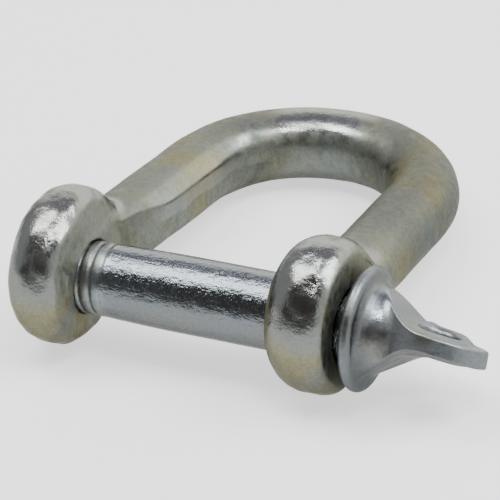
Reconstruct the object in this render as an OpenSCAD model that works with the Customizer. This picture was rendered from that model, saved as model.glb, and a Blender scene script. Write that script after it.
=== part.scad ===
// Bow shackle with a screw pin: a bent and forged bow with two eyes, closed by a screw pin.
// The pin's axis is X, the crown of the bow points along +Y and Z is square to the bow.
// The origin is on the pin's axis, midway between the eyes.

/* [Bow] */
// Diameter of the round bar
bar_d = 10; // [8:0.1:11]
// Clear gap between the two eyes
jaw = 28; // [24:0.5:32]
// Radius of the crown, to the middle of the bar
crown_r = 16.6; // [15.5:0.1:18]
// Distance from the pin's axis to the centre of the crown
crown_y = 31; // [28:0.5:40]
// How far the crown's centre lies toward the plain eye
crown_x = 2.4; // [-3:0.1:3]
// How far the threaded eye's limb starts inward of the eye's middle
limb_in = 0.8; // [0:0.1:1.2]
// How far the pin's axis lies below the middle plane of the bow
bore_drop = 0.8; // [0:0.1:1]
// Depth of the forged flat along the inner side of each limb
flat_depth = 0.5; // [0.2:0.1:0.8]
// How far each flat runs on round the crown, in degrees
flat_turn = 42; // [20:1:60]

/* [Eyes] */
// Outer diameter of the threaded eye
threaded_eye_d = 22.2; // [20:0.2:23]
// Thickness of the threaded eye
threaded_eye_t = 8.2; // [8:0.1:10]
// Outer diameter of the plain eye
plain_eye_d = 20.8; // [19:0.2:23]
// Thickness of the plain eye
plain_eye_t = 9.2; // [8:0.1:10]
// Radius of the rounding round each eye's rim
rim_r = 3.6; // [2:0.1:3.8]

/* [Screw pin] */
// Diameter of the plain shank
pin_d = 10.2; // [9.6:0.1:10.6]
// Diameter over the thread's crests
thread_d = 9.7; // [9:0.05:10]
// Distance from one thread crest to the next
thread_pitch = 1.5; // [1:0.25:1.75]
// Number of thread crests
thread_crests = 8; // [6:1:10]
// Depth of the thread
thread_depth = 0.8; // [0.4:0.05:0.9]
// Length of the taper from the thread up to the full shank
taper_len = 7; // [3:0.5:9]
// Space all round between the pin and a bore
running_gap = 0.08; // [0.03:0.01:0.1]
// Gap left between the collar and the plain eye
collar_gap = 1.2; // [0:0.1:2]

/* [Pin head] */
// Diameter of the collar
collar_d = 16.2; // [15:0.1:18]
// Length of the collar's rim
collar_t = 1.9; // [1.5:0.1:3]
// Diameter of the neck where it leaves the collar
neck_d = 13; // [11:0.1:14]
// Length from the collar's back face to the tip of the thumb eye
head_len = 17; // [15:0.5:20]
// Thickness of the thumb eye
tab_t = 2.4; // [2:0.1:3.5]
// Width of the thumb eye
tab_w = 12.6; // [11:0.2:14]
// Diameter of the waist between the neck and the thumb eye
waist_d = 9.5; // [8:0.1:11]
// Slope of the two flanks that flatten the neck into the thumb eye, in degrees from the pin's axis
flank = 41; // [30:1:60]
// Diameter of the lashing hole
hole_d = 5.2; // [4:0.1:6]
// Distance from the collar's back face to the lashing hole
hole_x = 10.4; // [9:0.1:12]
// Turn of the thumb eye about the pin, away from the plane of the bow
tab_turn = -29; // [-90:1:90]
// Bend of the thumb eye away from the pin's axis, in degrees
tab_bend = 8; // [0:1:12]

/* [Hidden] */
$fn = 96;

zinc_bow = [0.62, 0.62, 0.57];
zinc_pin = [0.70, 0.72, 0.75];
slack = 0.01;          // overlap that lets joined shapes merge cleanly
room = 60;             // larger than any part that a cutting block crosses

eye_x_threaded = -(jaw + threaded_eye_t) / 2;
eye_x_plain = (jaw + plain_eye_t) / 2;
limb_x_threaded = eye_x_threaded + limb_in;
limb_x_plain = eye_x_plain;
plain_face_x = jaw / 2 + plain_eye_t;
threaded_face_x = -(jaw / 2 + threaded_eye_t);
collar_x = plain_face_x + collar_gap;

thread_len = thread_crests * thread_pitch;
tip_x = threaded_face_x + collar_gap;
tip_len = 1.2;         // chamfered point ahead of the first crest
thread_end_x = tip_x + tip_len + thread_len;
thread_flat = thread_pitch / 8;

threaded_bore_d = thread_d + 2 * running_gap;
plain_bore_d = pin_d + 2 * running_gap;
bore_mouth = 0.5;      // chamfer round the mouth of each bore

// The limbs are drawn a little under the bar's diameter, so that they end inside the crown
limb_d = bar_d - 0.2;

// Distance from where a limb's axis crosses the X axis, at x, to the centre of the crown
function reach(x) = norm([crown_x - x, crown_y]);
// Lean of the limb that starts at x, in degrees, from +Y toward the middle
function lean(x) = atan2(abs(crown_x - x), crown_y) - asin(crown_r / reach(x));
// Length of the limb that starts at x, up to where the crown begins
function limb_len(x) = sqrt(reach(x) * reach(x) - crown_r * crown_r);

// Shapes drawn round Z are laid along X
module along_x() {
  rotate([0, 90, 0]) children();
}

// Solid of revolution about X, from a profile of [distance along X, radius] points
module turned(profile) {
  along_x() rotate_extrude() polygon([for (p = profile) [p[1], p[0]]]);
}

// Disc with a rounded rim, its axis along X and its middle at the origin
module rounded_disc(d, t) {
  flat_r = d / 2 - rim_r;
  along_x() rotate_extrude() {
    translate([0, -t / 2]) square([flat_r, t]);
    translate([0, rim_r - t / 2]) square([d / 2, t - 2 * rim_r]);
    for (side = [-1, 1]) translate([flat_r, side * (t / 2 - rim_r)]) circle(rim_r);
  }
}

// Straight bar that starts at x, from inside its eye up to the crown
module limb(x) {
  start = 8.6;           // hidden inside the eye, beyond its flat faces
  seat = 0.5;            // hidden inside the crown
  translate([x, 0, 0])
    rotate([0, 0, sign(x) * lean(x)])
      translate([0, start, 0])
        rotate([-90, 0, 0])
          cylinder(d = limb_d, h = limb_len(x) - start + seat);
}

// Block that cuts the flat along the inner side of a limb, up to the crown's own flat
module limb_flat(x) {
  width = 4;
  face = bar_d / 2 - flat_depth;
  translate([x, 0, 0])
    rotate([0, 0, sign(x) * lean(x)])
      translate([x > 0 ? -face - width : face, 0, -room / 2])
        cube([width, limb_len(x) - 0.5, room]);
}

module crown() {
  right = lean(limb_x_plain);
  left = lean(limb_x_threaded);
  translate([crown_x, crown_y, 0])
    rotate([0, 0, right])
      rotate_extrude(angle = 180 - right - left)
        translate([crown_r, 0]) circle(d = bar_d);
}

// Cuts the start of the crown's inner side flat, so that it runs on from the limbs
module crown_flats() {
  lead = 12;             // degrees that each cut reaches back along its limb
  right = lean(limb_x_plain) - lead;
  left = lean(limb_x_threaded) - lead;
  flat_r = crown_r - bar_d / 2 + flat_depth + 0.1;
  turn = flat_turn + lead;
  translate([crown_x, crown_y, -room / 2])
    for (start = [right, 180 - left - turn])
      rotate([0, 0, start])
        rotate_extrude(angle = turn)
          translate([flat_r - 3, 0]) square([3, room]);
}

// Bore along X from x0 to x1, with a chamfered mouth at both ends
module bore(x0, x1, d) {
  r = d / 2;
  c = bore_mouth;
  turned([
    [x0 - c, 0], [x0 - c, r + 2 * c], [x0 + c, r],
    [x1 - c, r], [x1 + c, r + 2 * c], [x1 + c, 0]
  ]);
}

module bow() {
  color(zinc_bow)
    difference() {
      translate([0, 0, bore_drop])
        difference() {
          union() {
            translate([eye_x_threaded, 0, 0]) rounded_disc(threaded_eye_d, threaded_eye_t);
            translate([eye_x_plain, 0, 0]) rounded_disc(plain_eye_d, plain_eye_t);
            for (x = [limb_x_threaded, limb_x_plain]) limb(x);
            crown();
          }
          for (x = [limb_x_threaded, limb_x_plain]) limb_flat(x);
          crown_flats();
        }
      bore(threaded_face_x, -jaw / 2, threaded_bore_d);
      bore(jaw / 2, plain_face_x, plain_bore_d);
    }
}

// Crests and roots of the thread, as rings: [distance along X, radius] for each corner
thread_profile = [
  for (i = [0 : thread_crests - 1])
    let (x = tip_x + tip_len + i * thread_pitch, crest = thread_d / 2)
      for (corner = [
        [0, crest - thread_depth], [thread_pitch / 2 - thread_flat, crest],
        [thread_pitch / 2 + thread_flat, crest], [thread_pitch - slack, crest - thread_depth]
      ]) [x + corner[0], corner[1]]
];

module pin_shank() {
  root = thread_d / 2 - thread_depth;
  neck = thread_d / 2 - thread_depth / 3;
  color(zinc_pin)
    turned(concat(
      [[tip_x, 0], [tip_x, root - 0.6]],
      thread_profile,
      [
        [thread_end_x + 0.6, neck], [thread_end_x + taper_len, pin_d / 2],
        [collar_x, pin_d / 2], [collar_x, 0]
      ]
    ));
}

// The head is drawn with the collar's back face on x = 0 and the thumb eye lying in the X-Y plane
thin_x = 8.1;          // where the flanks reach the thumb eye's faces

// Radius of the collar, the conical neck and its waist along X
head_profile = [
  [0, 0], [0, collar_d / 2 - 0.4], [0.4, collar_d / 2], [collar_t - 0.5, collar_d / 2],
  [collar_t, collar_d / 2 - 0.3], [collar_t + 0.9, neck_d / 2],
  [collar_t + 2, waist_d / 2 + 0.9], [collar_t + 4.3, waist_d / 2], [collar_t + 5.5, waist_d / 2],
  [collar_t + 7.7, tab_w / 2 + 0.3], [head_len, tab_w / 2 + 0.3], [head_len, 0]
];

// Outline of the head seen square to the thumb eye's flat, in the X-Y plane
module tab_outline() {
  eye_r = tab_w / 2;
  nose = 0.2;            // taken off the eye's round by its blunt tip
  neck_len = 8.6;        // ends inside the eye's round
  translate([0, -collar_d / 2]) square([neck_len, collar_d]);
  translate([head_len + nose - eye_r, 0]) circle(eye_r);
}

function way(angle) = [cos(angle), sin(angle)];

// Cutter above (side = 1) or below (side = -1) the neck, in the X-Z plane: it is bounded by the flank
// and by the thumb eye's bent face, with a fillet of short flats between the two
module neck_cut(side) {
  fillet = 4;
  flats = 4;
  start = collar_t + 0.4; // clear of the collar's rim
  half = tab_t / 2 / cos(tab_bend);
  corner = [thin_x, side * half];
  back = side * (180 - flank);
  centre = corner + fillet / sin(abs(back + tab_bend) / 2) * way((back - tab_bend) / 2);
  fillet_start = -side * (90 + flank);
  fillet_turn = side * flank - tab_bend;
  polygon(concat(
    [for (i = [0 : flats]) centre + fillet * way(fillet_start + fillet_turn * i / flats)],
    [
      corner + room * way(-tab_bend), [room, side * room], [start, side * room],
      [start, side * (half + (thin_x - start) * tan(flank))]
    ]
  ));
}

// Outline of the head seen edge on, in the X-Z plane
module edge_outline() {
  difference() {
    translate([0, -collar_d / 2]) square([head_len, collar_d]);
    for (side = [-1, 1]) neck_cut(side);
  }
}

module pin_head() {
  color(zinc_pin)
    translate([collar_x, 0, 0])
      rotate([tab_turn, 0, 0])
        difference() {
          intersection() {
            turned(head_profile);
            translate([0, 0, -room / 2]) linear_extrude(room) tab_outline();
            translate([0, room / 2, 0]) rotate([90, 0, 0]) linear_extrude(room) edge_outline();
          }
          translate([thin_x, 0, 0])
            rotate([0, tab_bend, 0])
              translate([hole_x - thin_x, 0, -room / 2]) cylinder(d = hole_d, h = room);
        }
}

bow();
pin_shank();
pin_head();
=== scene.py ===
"""Bow shackle: the looks of the bow and the screw pin, a studio floor, lights and a camera.

Each piece is described as a distance field in millimetres, in the row frame, and meshed from it.
"""

import math

import bpy
import numpy as np
from mathutils import Matrix, Vector


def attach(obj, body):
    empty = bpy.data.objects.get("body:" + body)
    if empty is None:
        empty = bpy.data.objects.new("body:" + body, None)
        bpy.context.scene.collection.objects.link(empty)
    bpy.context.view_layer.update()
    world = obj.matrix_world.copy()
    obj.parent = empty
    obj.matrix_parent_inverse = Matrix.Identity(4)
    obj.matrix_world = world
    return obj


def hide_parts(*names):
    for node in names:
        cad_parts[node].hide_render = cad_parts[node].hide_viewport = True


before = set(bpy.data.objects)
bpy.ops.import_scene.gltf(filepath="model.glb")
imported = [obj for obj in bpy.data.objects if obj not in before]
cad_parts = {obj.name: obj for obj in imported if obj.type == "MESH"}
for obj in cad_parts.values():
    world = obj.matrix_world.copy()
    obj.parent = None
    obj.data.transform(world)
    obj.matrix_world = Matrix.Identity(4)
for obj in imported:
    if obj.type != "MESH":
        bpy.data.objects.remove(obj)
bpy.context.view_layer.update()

MM = 0.001

# ------------------------------------------------------------------ sizes, in millimetres
JAW = 14.0  # from the origin to each eye's inner face
DROP = 0.8  # the bow's middle plane lies this far above the pin's axis
BAR_R = 5.0
CROWN = (2.4, 31.0)  # centre of the crown
CROWN_R = 16.6
LIMB_L, LIMB_R = -17.3, 18.6  # where the limbs' axes cross the pin's axis
FLAT = 0.5  # depth of the forged flats
EYE_L = {
    "x": -18.0, "y": 0.2, "z": 1.1, "half": 4.0, "ry": 11.0, "rz": 10.5, "yaw": 0.0,
    "rounding": (4.1, 3.4), "spare": (0.1, 0.12), "edge": 0.5,
}
EYE_R = {
    "x": 18.5, "y": 0.1, "z": 0.8, "half": 4.5, "ry": 9.6, "rz": 10.35, "yaw": -2.5,
    "rounding": (4.6, 3.4), "spare": (0.1, 0.6), "edge": 0.15,
}
SPOT_L, SPOT_R = 8.3, 8.2  # radius of the spot faces round the bores
BORE_L, BORE_R = 4.89, 5.2
END_L, END_R = -22.2, 23.2  # the eyes' outer faces
LIMB_END = -22.05  # nothing of the bow reaches past this at the left
PITCH = 1.5
TIP = -21.0  # tip of the pin
COLLAR = 24.4  # back face of the collar
HEAD = 17.0  # from there to the tip of the thumb eye
COLLAR_R, COLLAR_T = 7.0, 1.7  # the collar's radius up to its rounded rim, and its thickness
EYE_DISC_R = 6.4  # radius of the thumb eye
LASHING_R, LASHING_S = 2.6, 10.4  # the lashing hole, and its distance from the collar's back
TAB_TURN = math.radians(-29)
TAB_BEND = math.tan(math.radians(8))


# ------------------------------------------------------------------ tools for distance fields
def smin(a, b, k):
    """The lower of two fields, with a fillet about k wide where they cross."""
    h = np.maximum(k - np.abs(a - b), 0) / k
    return np.minimum(a, b) - h * h * k / 4


def smax(a, b, k):
    return -smin(-a, -b, k)


def step(a, b, v):
    """0 at a, 1 at b and smooth in between."""
    t = np.clip((v - a) / (b - a), 0, 1)
    return t * t * (3 - 2 * t)


def bell(v, centre, width):
    return np.exp(-(((v - centre) / width) ** 2))


def waves(seed, long, short, count=22):
    """A smooth random field between about -1 and 1, from plane waves of those lengths."""
    rng = np.random.default_rng(seed)
    way = rng.normal(size=(count, 3))
    way /= np.linalg.norm(way, axis=1)[:, None]
    k = way * (2 * np.pi / rng.uniform(short, long, count))[:, None]
    phase = rng.uniform(0, 2 * np.pi, count)

    def field(x, y, z):
        total = 0
        for (a, b, c), p in zip(k, phase):
            total = total + np.sin(a * x + b * y + c * z + p)
        return total / math.sqrt(count / 2) / 2

    return field


hammer = waves(3, 7.0, 3.2)
dimple = waves(5, 3.4, 1.5)
ripple = waves(8, 16.0, 6.0)


# ------------------------------------------------------------------ the bow
def side_of(x0):
    """A limb's direction, its length up to the crown and its inward normal, in the bow's plane."""
    to = np.array([CROWN[0] - x0, CROWN[1]])
    far = np.hypot(*to)
    length = math.sqrt(far * far - CROWN_R**2)
    turn = math.atan2(to[1], to[0]) + (-1 if x0 > 0 else 1) * math.asin(CROWN_R / far)
    way = np.array([math.cos(turn), math.sin(turn)])
    inward = np.array([way[1], -way[0]]) * (1 if x0 < 0 else -1)
    return way, length, inward


LIMBS = [(x0, *side_of(x0)) for x0 in (LIMB_L, LIMB_R)]


def bar(x, y, z):
    """The bent round bar, with the forged flats along the inner side of its limbs."""
    z = z - DROP
    dx, dy = x - CROWN[0], y - CROWN[1]
    turn = np.arctan2(dy, dx)
    start = math.atan2(*(LIMBS[1][3][::-1] * -1))
    end = math.atan2(*(LIMBS[0][3][::-1] * -1))
    end += 2 * math.pi if end < 0 else 0
    mid = (start + end) / 2
    turn = np.where(turn < mid - math.pi, turn + 2 * math.pi, turn)
    on_arc = (turn > start) & (turn < end)
    r = np.hypot(dx, dy)
    d = np.where(on_arc, np.hypot(r - CROWN_R, z), 1e3)
    inset = CROWN_R - r
    past = np.minimum(turn - start, end - turn)  # how far round the crown, in radians
    depth = FLAT * (1 - 0.5 * step(0.73, 0.78, past)) - 0.15 * step(0.9, 1.2, past)
    depth = np.where(on_arc, depth, 0)
    for x0, way, length, inward in LIMBS:
        px = x - x0
        along = px * way[0] + y * way[1]
        t = np.clip(along, 0, length)
        d_limb = np.sqrt((px - way[0] * t) ** 2 + (y - way[1] * t) ** 2 + z * z)
        near = (d_limb < d) & ~on_arc
        u = px * inward[0] + y * inward[1]
        inset = np.where(near, u, inset)
        root = 1.15 * (1 - step(9, 20, along)) if x0 < 0 else 0
        depth = np.where(near, FLAT + root, depth)
        d = np.where(on_arc, d, np.minimum(d, d_limb))
    flat = inset - (BAR_R - depth)
    body = smax(d - BAR_R, flat, 0.16 + 0.3 * step(30, 36, y))
    # the crown's shoulder is squarer than the round bar
    shoulder = 0.24 * bell(np.arctan2(z, inset), 0.8, 0.36) * step(36, 40, y) * (1 - step(8, 12, x))
    swell = 0.07 * ripple(x, y, z) + 0.03 * hammer(x, y, z)
    return body + swell - shoulder


def eye(x, y, z, e):
    """A forged eye: a full round disc, slightly oval, whose faces are cut flat."""
    c, s = math.cos(math.radians(e["yaw"])), math.sin(math.radians(e["yaw"]))
    px, py, pz = x - e["x"], y - e["y"], z - e["z"]
    px, py = px * c + py * s, -px * s + py * c
    mean = (e["ry"] + e["rz"]) / 2
    r = np.hypot(py * mean / e["ry"], pz * mean / e["rz"])
    round_r = np.where(px < 0, e["rounding"][0], e["rounding"][1])
    spare = np.where(px < 0, e["spare"][0], e["spare"][1])
    qr, qx = r - (mean - round_r), np.abs(px) - (e["half"] + spare - round_r)
    rim = np.hypot(np.maximum(qr, 0), np.maximum(qx, 0)) + np.minimum(np.maximum(qr, qx), 0)
    dents = (0.09 * hammer(x, y, z) + 0.05 * dimple(x, y, z)) * step(7.0, 9.5, r)
    return smax(rim - round_r + dents, np.abs(px) - e["half"], e["edge"])


def hole(x, r, x0, x1, radius, mouth=0.5):
    """A bore along X with chamfered mouths, negative inside."""
    widen = np.maximum(0, mouth - np.minimum(np.abs(x - x0), np.abs(x - x1)))
    outside = (x < x0) | (x > x1)
    return r - radius - np.where(outside, mouth, widen)


def bow(x, y, z):
    r = np.hypot(y, z)
    eyes = np.minimum(eye(x, y, z, EYE_L), eye(x, y, z, EYE_R))
    d = smin(bar(x, y, z), eyes, 1.7)
    d = smax(d, LIMB_END - x, 0.4)
    # spot faces: inside the jaw round both bores, and where the collar bears
    for radius, depth, flare, edge in (
        (SPOT_L, np.maximum(-JAW + 0.4 - x, x), 1.3, 0.5),
        (SPOT_R, np.maximum(x - JAW - 0.05, -x), 0.3, 0.14),
        (SPOT_R + 0.4, END_R - x, 0.0, 0.14),
    ):
        wall = r - radius - flare * np.maximum(-depth, 0)
        d = smax(d, -np.maximum(wall / math.hypot(1, flare), depth), edge)
    # the thread cut in the left eye, as a helical groove outward from its bore
    p = (x - TIP) / PITCH - np.arctan2(z, y) / (2 * math.pi)
    p = np.abs((p % 1) * 2 - 1)
    groove = 0.35 * step(0.25, 0.8, p)
    groove = groove * step(-14.3, -15.0, x)
    tapped = hole(x, r, END_L, -JAW, BORE_L, 0.06) - groove
    d = smax(d, -np.maximum(tapped, x), 0.08)
    return smax(d, -np.maximum(hole(x, r, JAW, END_R, BORE_R), -x), 0.12)


# ------------------------------------------------------------------ the screw pin
def shank(x, y, z):
    r = np.hypot(y, z)
    crest = np.interp(
        x,
        [TIP, TIP + 1.1, -12.6, -10.8, -8.6, -5.2, -0.8, 30],
        [3.7, 4.84, 4.86, 4.86, 4.93, 5.02, 5.09, 5.09],
    )
    depth = 0.13 * (1 - step(-12.2, -9.6, x)) + 0.45 * (1 - step(-17.5, -14.6, x))
    p = ((x - TIP) / PITCH - np.arctan2(z, y) / (2 * math.pi)) % 1
    ridge = 1 - (0.5 - 0.5 * np.cos(2 * np.pi * p)) ** 2.2
    wobble = 0.012 * ripple(x * 1.2, y, z) * step(-9, -4, x)
    d = (r - crest + depth * (1 - ridge) + wobble) * 0.8
    return smax(d, np.maximum(TIP - x, x - COLLAR - 1), 0.2)


def head(x, y, z):
    """Collar, neck and pierced thumb eye. s runs from the collar's back face, v across the tab."""
    s = x - COLLAR
    c, n = math.cos(TAB_TURN), math.sin(TAB_TURN)
    u, v = y * c + z * n, -y * n + z * c
    r = np.hypot(y, z)
    # collar: a disc with a rounded rim
    qr, qs = r - COLLAR_R, np.abs(s - COLLAR_T / 2) - 0.02
    collar = np.hypot(np.maximum(qr, 0), np.maximum(qs * 1.32, 0)) - 1.18
    faces = np.maximum(-s, s - COLLAR_T)
    collar = np.where(r < COLLAR_R, faces, np.maximum(collar, faces))
    # neck: a cone that narrows to a waist, and beyond it the round eye
    cone_r = np.interp(
        s,
        [0, 1.4, 1.9, 2.4, 3.0, 3.8, 5.0, 6.0, 7.4, 20],
        [7.0, 6.9, 6.55, 6.1, 5.75, 5.45, 5.0, 4.75, 4.65, 4.65],
    )
    cone = smax((r - cone_r) * 0.8, s - 9.0, 1.0)
    disc = np.hypot(s - (HEAD + 0.15 - EYE_DISC_R), u) - EYE_DISC_R
    body = smin(cone, np.maximum(disc, -s), 2.0)
    body = smax(body, s - HEAD + 0.05, 0.3)
    # two flanks flatten the neck into the eye, which is bent a little down
    past = s - 8.2
    bent = v + TAB_BEND * (past + np.sqrt(past**2 + 1.0)) / 2
    slant = np.where(v > 0, 0.98 * (7.9 - s), 0.73 * (8.5 - s))
    half = smax(1.17, 1.2 + slant, 2.0)
    # the eye swells round its hole, most on the far side
    from_hole = np.hypot(s - LASHING_S, u)
    swell = 0.42 + 0.6 * step(0.0, 3.0, u) * step(-1, 0.5, v)
    half = half + swell * bell(from_hole, 3.6, 1.1) * step(6.4, 8.6, s)
    thin = (np.abs(bent) - half) * 0.72
    body = smax(body, np.where(s > 1.6, thin, -1.0), 0.3)
    neck = np.maximum(body, -s)
    d = np.maximum(smin(collar, neck, 0.8), -s)
    return smax(d, LASHING_R - from_hole, 0.3)


def pin(x, y, z):
    return smin(shank(x, y, z), head(x, y, z), 0.12)


# ------------------------------------------------------------------ meshing a field
def blocks(field, xs, ys, zs):
    gy, gz = np.meshgrid(ys, zs, indexing="ij")
    out = np.empty((len(xs), len(ys), len(zs)), np.float32)
    for i in range(0, len(xs), 8):
        part = xs[i : i + 8, None, None]
        out[i : i + 8] = field(part + 0 * gy, gy + 0 * part, gz + 0 * part)
    return out


def slope(field, p, h=0.01):
    g = np.empty_like(p)
    for i in range(3):
        e = np.zeros(3)
        e[i] = h
        g[:, i] = field(*(p + e).T) - field(*(p - e).T)
    return g / (2 * h)


def surface(field, xs, ys, zs):
    """Vertices, quads and normals of the field's zero surface, by surface nets on a box grid."""
    v = blocks(field, xs, ys, zs)
    inside = v < 0
    n = [len(xs) - 1, len(ys) - 1, len(zs) - 1]
    corners = [(i, j, k) for i in (0, 1) for j in (0, 1) for k in (0, 1)]
    count = sum(
        inside[i : n[0] + i, j : n[1] + j, k : n[2] + k].astype(np.int8) for i, j, k in corners
    )
    active = (count > 0) & (count < 8)
    index = np.full(active.shape, -1, np.int64)
    cells = np.argwhere(active)
    index[active] = np.arange(len(cells))
    axes = (xs, ys, zs)
    total, hits = np.zeros((len(cells), 3)), np.zeros(len(cells))
    for a in corners:
        for axis in range(3):
            if a[axis]:
                continue
            b = list(a)
            b[axis] = 1
            va = v[tuple((cells + a).T)]
            vb = v[tuple((cells + b).T)]
            cross = (va < 0) != (vb < 0)
            t = np.where(cross, va / np.where(cross, va - vb, 1), 0)
            point = np.stack([axes[i][cells[:, i] + a[i]] for i in range(3)], 1).astype(float)
            far = axes[axis][cells[:, axis] + 1]
            point[:, axis] += t * (far - point[:, axis])
            total += point * cross[:, None]
            hits += cross
    points = total / hits[:, None]
    quads = []
    for axis in range(3):
        o1, o2 = (axis + 1) % 3, (axis + 2) % 3
        lo = [slice(None)] * 3
        hi = [slice(None)] * 3
        lo[axis], hi[axis] = slice(0, -1), slice(1, None)
        for o in (o1, o2):
            lo[o] = hi[o] = slice(1, -1)
        a, b = inside[tuple(lo)], inside[tuple(hi)]
        for flip, mask in ((False, a & ~b), (True, ~a & b)):
            at = np.argwhere(mask)
            at[:, o1] += 1
            at[:, o2] += 1
            ring = []
            for s1, s2 in ((1, 1), (0, 1), (0, 0), (1, 0)):
                cell = at.copy()
                cell[:, o1] -= s1
                cell[:, o2] -= s2
                ring.append(index[tuple(cell.T)])
            quads.append(np.stack(ring[::-1] if flip else ring, 1))
    quads = np.concatenate(quads)
    limit = 0.4 * min(np.diff(a).min() for a in axes)
    for _ in range(4):
        g = slope(field, points)
        move = g * (field(*points.T) / np.maximum((g * g).sum(1), 0.05))[:, None]
        size = np.linalg.norm(move, axis=1)[:, None]
        points = points - move * np.minimum(1, limit / np.maximum(size, 1e-9))
    g = slope(field, points)
    return points, quads, g / np.linalg.norm(g, axis=1)[:, None]


def spaced(*stops):
    """Grid lines between (position, spacing) stops: each spacing holds up to the next position."""
    out = []
    for (a, h), (b, _) in zip(stops, stops[1:]):
        out.append(np.linspace(a, b, max(1, round((b - a) / h)), endpoint=False))
    return np.concatenate([*out, [stops[-1][0]]])


def piece(name, field, xs, ys, zs, marks):
    points, quads, normals = surface(field, xs, ys, zs)
    mesh = bpy.data.meshes.new(name)
    mesh.vertices.add(len(points))
    mesh.vertices.foreach_set("co", (points * MM).astype(np.float32).ravel())
    mesh.loops.add(quads.size)
    mesh.loops.foreach_set("vertex_index", quads.astype(np.int32).ravel())
    mesh.polygons.add(len(quads))
    mesh.polygons.foreach_set("loop_start", np.arange(0, quads.size, 4, dtype=np.int32))
    mesh.update(calc_edges=True)
    mesh.polygons.foreach_set("use_smooth", np.ones(len(quads), bool))
    mesh.normals_split_custom_set_from_vertices(normals)
    for key, rule in marks.items():
        layer = mesh.attributes.new(key, "FLOAT", "POINT")
        layer.data.foreach_set("value", rule(points, normals).astype(np.float32))
    made = bpy.data.objects.new(name, mesh)
    bpy.context.scene.collection.objects.link(made)
    print(name, len(points), "points", len(quads), "quads")
    return made


# ------------------------------------------------------------------ materials
def new_material(name):
    m = bpy.data.materials.new(name)
    m.use_nodes = True
    nodes, links = m.node_tree.nodes, m.node_tree.links
    nodes.clear()
    out = nodes.new("ShaderNodeOutputMaterial")
    shader = nodes.new("ShaderNodeBsdfPrincipled")
    links.new(shader.outputs["BSDF"], out.inputs["Surface"])
    return m, nodes, links, shader


def noise(nodes, links, where, scale, detail=3.0, rough=0.55, stretch=None):
    if stretch is not None:
        mapping = nodes.new("ShaderNodeMapping")
        mapping.inputs["Scale"].default_value = stretch
        links.new(where, mapping.inputs["Vector"])
        where = mapping.outputs["Vector"]
    n = nodes.new("ShaderNodeTexNoise")
    n.inputs["Scale"].default_value = scale
    n.inputs["Detail"].default_value = detail
    n.inputs["Roughness"].default_value = rough
    links.new(where, n.inputs["Vector"])
    return n.outputs["Fac"]


def ranged(nodes, links, value, a, b, c, d):
    r = nodes.new("ShaderNodeMapRange")
    r.interpolation_type = "SMOOTHSTEP"
    for socket, number in zip(("From Min", "From Max", "To Min", "To Max"), (a, b, c, d)):
        r.inputs[socket].default_value = number
    links.new(value, r.inputs["Value"])
    return r.outputs["Result"]


def math_node(nodes, links, kind, a, b):
    m = nodes.new("ShaderNodeMath")
    m.operation = kind
    for socket, value in zip(m.inputs, (a, b)):
        if isinstance(value, (int, float)):
            socket.default_value = value
        else:
            links.new(value, socket)
    return m.outputs[0]


def mix_color(nodes, links, how, factor, a, b):
    m = nodes.new("ShaderNodeMix")
    m.data_type = "RGBA"
    m.blend_type = how
    sockets = {s.identifier: s for s in m.inputs}
    for key, value in (("Factor_Float", factor), ("A_Color", a), ("B_Color", b)):
        if isinstance(value, tuple):
            sockets[key].default_value = (*value, 1)
        elif isinstance(value, (int, float)):
            sockets[key].default_value = value
        else:
            links.new(value, sockets[key])
    return next(s for s in m.outputs if s.identifier == "Result_Color")


def shaded(nodes, links, color, value):
    """The colour times one value."""
    grey = nodes.new("ShaderNodeCombineColor")
    for socket in grey.inputs[:3]:
        links.new(value, socket)
    return mix_color(nodes, links, "MULTIPLY", 1.0, color, grey.outputs[0])


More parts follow.
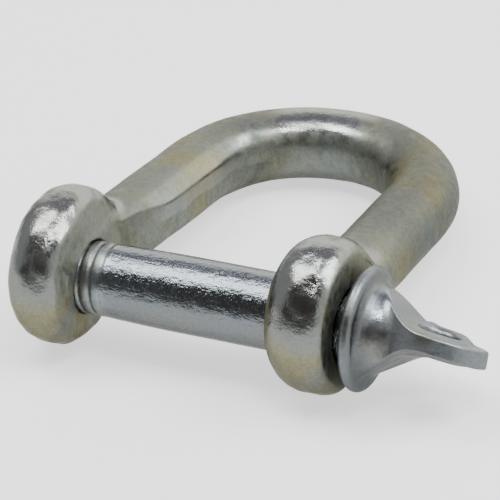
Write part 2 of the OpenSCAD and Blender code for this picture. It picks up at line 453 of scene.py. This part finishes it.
def zinc(name, base, warm, cool, dark, bright, rough, polish, grain, streak):
    """Zinc plate with a clear passivation: patchy tints, patchy gloss, a fine grain and stains, and
    painted light and shade read from the mesh.
    """
    m, nodes, links, shader = new_material(name)
    at = nodes.new("ShaderNodeTexCoord").outputs["Object"]
    patches = noise(nodes, links, at, 95, 3.5)
    patches2 = noise(nodes, links, at, 140, 4.0, 0.6, (1.0, 1.3, 0.8))
    mottle = noise(nodes, links, at, 560, 4.0, 0.62)
    fine = noise(nodes, links, at, 2400, 3.0, 0.65)
    drawn = noise(nodes, links, at, 700, 4.0, 0.6, streak)
    marks = {}
    for key in ("gloss", "aged", "light_and_shade"):
        reader = nodes.new("ShaderNodeAttribute")
        reader.attribute_name = key
        marks[key] = reader.outputs["Fac"]
    tint = ranged(nodes, links, patches, 0.48, 0.68, 0, 0.7)
    color = mix_color(nodes, links, "MIX", tint, base, warm)
    tint = ranged(nodes, links, patches2, 0.4, 0.58, 0, 0.85)
    tint = math_node(nodes, links, "MULTIPLY", tint, marks["aged"])
    color = mix_color(nodes, links, "MIX", tint, color, warm)
    tint = ranged(nodes, links, patches2, 0.5, 0.7, 0, 0.6)
    color = mix_color(nodes, links, "MIX", tint, color, cool)
    stain = ranged(nodes, links, mottle, 0.54, 0.76, 0, 0.5)
    color = mix_color(nodes, links, "MIX", stain, color, dark)
    speck = ranged(nodes, links, fine, 0.25, 0.75, 0.84, 1.16)
    color = shaded(nodes, links, color, speck)
    # matte zinc sends back less light than burnished zinc, which is also bluer
    fresh = math_node(nodes, links, "SUBTRACT", 0.75, marks["aged"])
    burnish_and_painted_highlight = math_node(nodes, links, "MULTIPLY", marks["gloss"], fresh)
    burnish_and_painted_highlight = math_node(nodes, links, "MAXIMUM", burnish_and_painted_highlight, 0)
    color = mix_color(nodes, links, "MIX", burnish_and_painted_highlight, color, bright)
    finish_and_painted_light = ranged(nodes, links, marks["gloss"], 0, 0.8, 0.74, 0.96)
    # painted light and shade from the mesh's attribute scale the colour here
    finish_and_painted_light = math_node(nodes, links, "MULTIPLY", finish_and_painted_light, marks["light_and_shade"])
    color = shaded(nodes, links, color, finish_and_painted_light)
    links.new(color, shader.inputs["Base Color"])
    shader.inputs["Metallic"].default_value = 1.0
    shader.inputs["Specular Tint"].default_value = (0.62, 0.62, 0.6, 1)
    shine = nodes.new("ShaderNodeMapRange")
    shine.inputs["To Min"].default_value = rough
    shine.inputs["To Max"].default_value = polish
    links.new(marks["gloss"], shine.inputs["Value"])
    uneven = ranged(nodes, links, drawn, 0.3, 0.72, 0.8, 1.3)
    wear = math_node(nodes, links, "MULTIPLY", shine.outputs["Result"], uneven)
    links.new(wear, shader.inputs["Roughness"])
    relief = math_node(nodes, links, "ADD", mottle, math_node(nodes, links, "MULTIPLY", fine, 0.45))
    relief = math_node(nodes, links, "ADD", relief, math_node(nodes, links, "MULTIPLY", drawn, 0.7))
    # the relief is taken from its mean, so that a change of gloss makes no step of its own
    relief = math_node(nodes, links, "SUBTRACT", relief, 1.075)
    rugged = ranged(nodes, links, marks["gloss"], 0.7, 1.0, 0.6, 2.6)
    relief = math_node(nodes, links, "MULTIPLY", relief, rugged)
    bump = nodes.new("ShaderNodeBump")
    bump.inputs["Strength"].default_value = grain
    bump.inputs["Distance"].default_value = 0.00012
    links.new(relief, bump.inputs["Height"])
    links.new(bump.outputs["Normal"], shader.inputs["Normal"])
    return m


bow_zinc = zinc(
    "bow_zinc",
    (0.165, 0.176, 0.150),
    (0.205, 0.184, 0.094),
    (0.147, 0.177, 0.172),
    (0.130, 0.132, 0.106),
    (0.152, 0.164, 0.164),
    0.55,
    0.18,
    0.32,
    (1.0, 1.2, 0.7),
)
pin_zinc = zinc(
    "pin_zinc",
    (0.138, 0.153, 0.163),
    (0.155, 0.152, 0.128),
    (0.126, 0.154, 0.18),
    (0.10, 0.103, 0.11),
    (0.132, 0.149, 0.164),
    0.5,
    0.14,
    0.5,
    (0.18, 1.0, 1.0),
)


# ------------------------------------------------------------------ the two pieces
def bow_gloss(p, n):
    """The rims of the eyes and the top of the crown are burnished; the rest is satin."""
    out = np.zeros(len(p))
    for e in (EYE_L, EYE_R):
        r = np.hypot(p[:, 1] - e["y"], p[:, 2] - e["z"])
        near = np.exp(-((np.maximum(np.abs(p[:, 0] - e["x"]) - 3.2, 0) / 1.0) ** 2))
        rim = near * step(7.6, 9.0, r) * (1 - step(11.0, 13.5, r))
        out = np.maximum(out, rim * (1 - step(0.72, 0.97, np.abs(n[:, 0]))))
    out = out * np.clip(1 + 0.12 * ripple(*p.T), 0, 1)
    out = out * (1 - 0.35 * bow_aged(p, n))
    top = step(-9, -5.5, p[:, 0]) * (1 - step(3, 9, p[:, 0])) * step(39, 41.5, p[:, 1])
    out = np.maximum(out, 0.9 * top * (0.4 + 0.6 * step(0.5, 0.72, n[:, 2])))
    x0, way, length, inward = LIMBS[0]
    px = p[:, 0] - x0
    along = px * way[0] + p[:, 1] * way[1]
    across = px * inward[0] + p[:, 1] * inward[1]
    crease = bell(across, BAR_R - FLAT, 0.7) * (p[:, 2] > DROP) * step(12, 18, along)
    return np.maximum(out, 0.5 * crease * (1 - step(length + 8, length + 12, along)))


def bow_aged(p, n):
    """The undersides of the eyes have gone yellowish in patches."""
    return (1 - step(14, 18, p[:, 1] + 8)) * (1 - step(-2, 2.5, p[:, 2]))


def bow_painted_light(p, n):
    """Painted light and shade: painted shade darkens the right limb, the undersides and a crown
    patch; painted light and painted highlights brighten the left limb's flat and its edge, two
    crown spots and the left eye's inner face.
    """
    x, y, z = p.T
    # painted shade darkens the right limb
    out = 0.92 - 0.24 * step(5, 13, x) * step(10, 22, y)
    # painted shade darkens the lower sides near the eyes
    out = out * (1 - 0.18 * (1 - step(-3, 1, z)) * (1 - step(8, 14, y)))
    # painted shade dulls a patch on the crown's left, where a lamp's reflection falls
    out = out * (1 - 0.28 * np.exp(-(((x + 9) / 4) ** 2 + ((y - 38.5) / 4.5) ** 2)))
    # painted light on the left limb: a painted sheen on its flat, and a painted highlight along the
    # edge between it and the round top
    inward = LIMBS[0][3]
    side = n[:, 0] * inward[0] + n[:, 1] * inward[1]
    here = 1 - step(-4, 0, x)
    out = out * (1 + 0.25 * step(0.8, 0.97, side) * step(9, 14, y) * here)
    edge = step(0.45, 0.6, side) * (1 - step(0.85, 0.97, side)) * step(12, 16, y) * (z > DROP)
    out = out * (1 + 0.35 * edge * (1 - step(38, 41, y)) * here)
    # two painted highlight spots on the crown's top, where it tilts toward the lamps
    burnish_and_painted_highlight = 0.7 * bell(x, -4.5, 2.4) + 0.6 * bell(x, 1.9, 1.6)
    tilted = step(0.66, 0.78, n[:, 2]) * (1 - step(0.9, 0.96, n[:, 2]))
    out = out * (1 + burnish_and_painted_highlight * step(41, 42.5, y) * tilted)
    # painted light brightens the left eye's inner face
    face_painted_light = bell(x, -JAW, 0.4) * step(0.75, 0.97, n[:, 0]) * (1 - step(9, 11, np.hypot(y, z)))
    return out * (1 + 0.6 * face_painted_light)


def pin_painted_light(p, n):
    """Painted light and shade: painted light makes the thread a little brighter than the rest and
    lifts the head, painted shade makes the collar's front a little duller.
    """
    x = p[:, 0]
    # painted light brightens the thread and, past the collar's back, the head
    out = 0.94 + 0.45 * (1 - step(-11, -9, x))
    out = out + 0.14 * step(0, 0.6, x - COLLAR)
    # painted shade dulls the collar's front
    return out - 0.34 * bell(x - COLLAR, 2.2, 1.1)


def pin_aged(p, n):
    thread = 0.8 * (1 - step(-11, -9, p[:, 0]))
    return np.maximum(thread, 0.5 * (1 - step(-2, 2, p[:, 2])) * (p[:, 0] < COLLAR))


def pin_gloss(p, n):
    """The plain shank is glossy, the thread and the head less so."""
    s = p[:, 0] - COLLAR
    plain = 0.28 + 0.72 * step(-11.6, -9.6, p[:, 0])
    glint = 0.5 * bell(s, 4.0, 1.0) * step(0.4, 0.7, n[:, 2])
    return np.where(s < -0.2, plain, 0.34 * step(0.2, 0.9, s) + glint)


shown_bow = piece(
    "bow_body",
    bow,
    spaced((-23.2, 0.3), (24.4, 0.3)),
    spaced((-11.8, 0.3), (53.4, 0.3)),
    spaced((-10.8, 0.3), (12.4, 0.3)),
    {"gloss": bow_gloss, "aged": bow_aged, "light_and_shade": bow_painted_light},
)
shown_bow.data.materials.append(bow_zinc)
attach(shown_bow, "bow")
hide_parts("bow")

shown_pin = piece(
    "screw_pin",
    pin,
    spaced((-21.6, 0.12), (-8.0, 0.3), (23.6, 0.14), (26.8, 0.19), (41.9, 0.19)),
    spaced((-8.6, 0.2), (8.6, 0.2)),
    spaced((-8.6, 0.2), (8.6, 0.2)),
    {"gloss": pin_gloss, "aged": pin_aged, "light_and_shade": pin_painted_light},
)
shown_pin.data.materials.append(pin_zinc)
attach(shown_pin, "screw_pin_head")
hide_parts("pin_shank", "pin_head")

# ------------------------------------------------------------------ floor, lights and camera
# The shackle lies on its two eyes and its crown, so the floor is tilted in the row frame.
lie = math.asin((EYE_L["rz"] - BAR_R) / (CROWN[1] + CROWN_R))
bpy.ops.mesh.primitive_plane_add(size=8)
floor = bpy.context.object
floor.name = "floor"
up = Vector((0, -math.sin(lie), math.cos(lie)))
floor_z = min(v.co @ up for v in shown_bow.data.vertices) / MM - 0.03
tilt = up.to_track_quat("Z", "Y").to_matrix().to_4x4()
floor.matrix_world = Matrix.Translation(up * floor_z * MM) @ tilt
m, nodes, links, shader = new_material("floor_white")
shader.inputs["Base Color"].default_value = (0.36, 0.36, 0.36, 1)
shader.inputs["Roughness"].default_value = 0.9
shader.inputs["Specular IOR Level"].default_value = 0.0
shader.inputs["Emission Color"].default_value = (1, 1, 1, 1)
shader.inputs["Emission Strength"].default_value = 1.1
floor.data.materials.append(m)


LIGHT_DISTANCE = 0.9  # in metres, from the shackle's middle to each softbox
WARM_WHITE = (1.0, 0.99, 0.98)


def softbox(name, way, width, height, power, color):
    """An area light that shines on the shackle's middle from the direction way."""
    target = Vector((0, 16, 0)) * MM
    way = Vector(way).normalized()
    data = bpy.data.lights.new(name, "AREA")
    data.shape = "RECTANGLE"
    data.size, data.size_y = width, height
    data.energy = power
    data.color = color
    light = bpy.data.objects.new(name, data)
    light.location = target + way * LIGHT_DISTANCE
    light.rotation_mode = "QUATERNION"
    light.rotation_quaternion = way.to_track_quat("Z", "Y")
    bpy.context.scene.collection.objects.link(light)


softbox("left", (-0.36, -0.09, 0.92), 0.42, 0.58, 11, WARM_WHITE)
softbox("right", (0.62, 0.12, 0.77), 0.44, 0.5, 13.5, WARM_WHITE)
softbox("middle", (0.24, -0.28, 0.93), 0.22, 0.18, 5, (1, 1, 1))

# The room: dark on the camera's side, a dim ceiling and a light back wall, by angle about X,
# and lighter toward both ends of the pin
world = bpy.data.worlds.new("studio")
bpy.context.scene.world = world
world.use_nodes = True
nodes, links = world.node_tree.nodes, world.node_tree.links
way = nodes.new("ShaderNodeTexCoord").outputs["Generated"]
split = nodes.new("ShaderNodeSeparateXYZ")
links.new(way, split.inputs[0])
ahead = math_node(nodes, links, "MULTIPLY", split.outputs["Y"], -1.0)
angle = math_node(nodes, links, "ARCTAN2", split.outputs["Z"], ahead)
angle = math_node(nodes, links, "DIVIDE", angle, math.pi)
ramp = nodes.new("ShaderNodeValToRGB")
links.new(angle, ramp.inputs["Fac"])
room = (
    (0.00, (0.9, 0.88, 0.85)),
    (0.05, (0.20, 0.18, 0.17)),
    (0.34, (0.20, 0.18, 0.17)),
    (0.40, (1.1, 1.1, 1.1)),
    (0.56, (1.1, 1.1, 1.1)),
    (0.62, (0.70, 0.63, 0.84)),
    (0.76, (0.9, 0.85, 0.95)),
    (0.80, (4.6, 4.5, 4.2)),
    (1.00, (5.0, 4.9, 4.6)),
)
stops = ramp.color_ramp.elements
for i, (place, light_and_shade) in enumerate(room):
    stop = stops[i] if i < 2 else stops.new(place)
    stop.position = place
    stop.color = (*light_and_shade, 1)
side = ranged(nodes, links, split.outputs["X"], 0.6, 0.9, 0, 1)
seen = mix_color(nodes, links, "MIX", side, ramp.outputs["Color"], (1.6, 1.6, 1.56))
side = ranged(nodes, links, split.outputs["X"], -0.8, -0.5, 1, 0)
seen = mix_color(nodes, links, "MIX", side, seen, (1.0, 1.0, 1.05))
links.new(seen, nodes["Background"].inputs["Color"])
nodes["Background"].inputs["Strength"].default_value = 1.0

AZ, EL, ROLL = math.radians(25.6), math.radians(26.96), math.radians(-1.84)
DISTANCE, LENS = 450.0, 3376.9 / 500 * 36
right = Vector((math.cos(AZ), math.sin(AZ), 0))
back = Vector((math.sin(AZ) * math.cos(EL), -math.cos(AZ) * math.cos(EL), math.sin(EL)))
lift = back.cross(right)
aim = Vector((0, 15, 0)) + right * 1.83 - lift * 0.59
r2 = right * math.cos(ROLL) + lift * math.sin(ROLL)
u2 = lift * math.cos(ROLL) - right * math.sin(ROLL)
camera = bpy.data.objects.new("camera", bpy.data.cameras.new("camera"))
camera.data.sensor_width = 36
camera.data.lens = LENS
camera.data.clip_start = 0.01
look = Matrix((r2, u2, back)).transposed().to_4x4()
camera.matrix_world = Matrix.Translation((aim + back * DISTANCE) * MM) @ look
bpy.context.scene.collection.objects.link(camera)
bpy.context.scene.camera = camera
